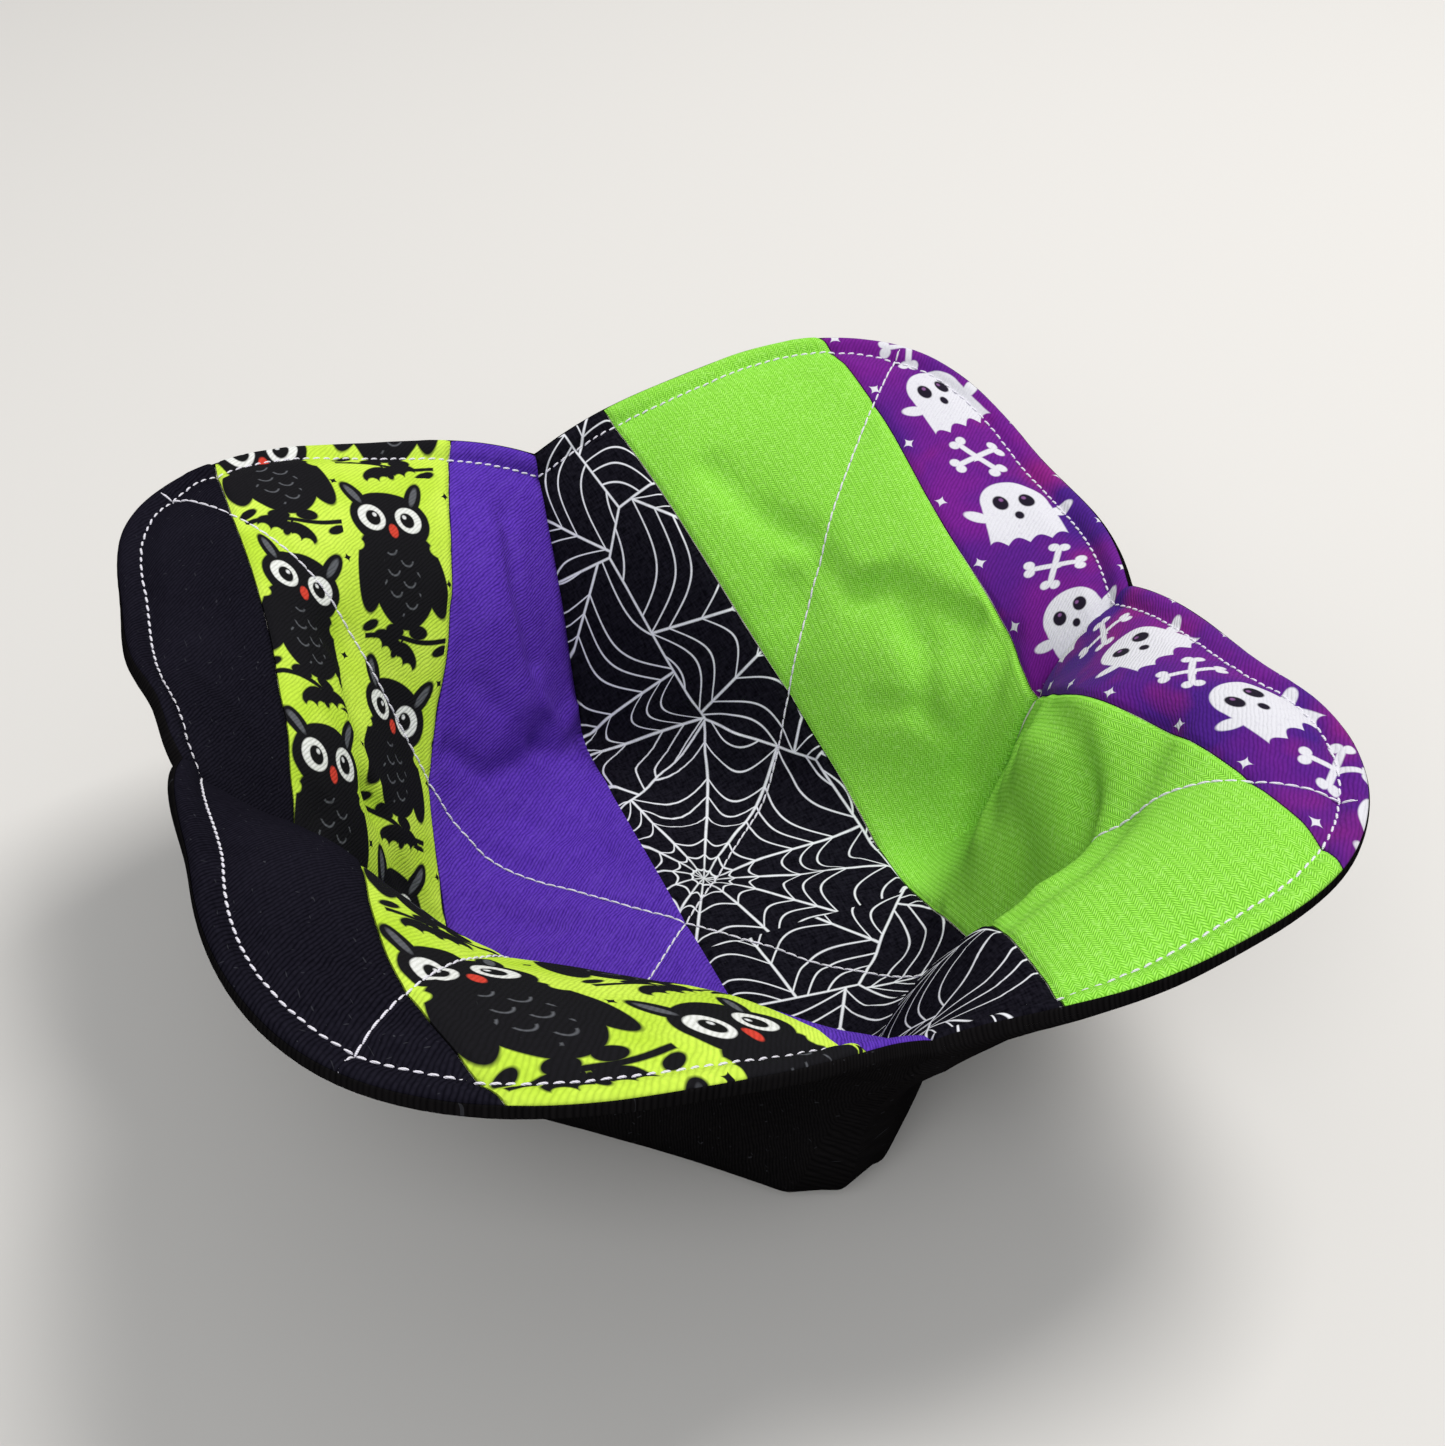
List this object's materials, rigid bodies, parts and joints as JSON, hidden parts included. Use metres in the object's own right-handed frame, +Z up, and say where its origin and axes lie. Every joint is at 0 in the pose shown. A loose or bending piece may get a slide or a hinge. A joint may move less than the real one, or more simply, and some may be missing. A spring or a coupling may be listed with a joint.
{
  "type": "microwave bowl cozy",
  "caption": "Soft quilted square bowl holder with darted sides, flared corner flaps, a patchwork lining and a plain shell.",
  "frame": {"origin": "middle of the underside, below the crossing of the two quilting lines", "axes": "+Z up; X and Y lie along the sides of the flat square, with the lining's strips running along Y"},
  "size_m": [0.1953, 0.2022, 0.0792],
  "materials": {
    "black_twill": "fine diagonal twill, matt",
    "lime_print": null,
    "purple_twill": "violet-blue cotton twill, matt",
    "web_print": "black cotton printed with white web lines, matt",
    "green_twill": "bright green cotton twill, matt",
    "violet_print": null,
    "shell_twill": "black cotton twill, matt, with a little lint",
    "batting": "undyed cotton batting, soft",
    "white_thread": "white sewing thread"
  },
  "bodies": {
    "root": {"lining_black_strip": "black_twill", "lining_lime_strip": "lime_print", "lining_purple_strip": "purple_twill", "lining_web_strip": "web_print", "lining_green_strip": "green_twill", "lining_violet_strip": "violet_print", "lining_batting": "batting", "shell_batting": "batting", "outer_shell": "shell_twill", "rim_topstitch": "white_thread", "quilting_thread_left_to_right": "white_thread", "quilting_thread_front_to_back": "white_thread"}
  },
  "joints": []
}
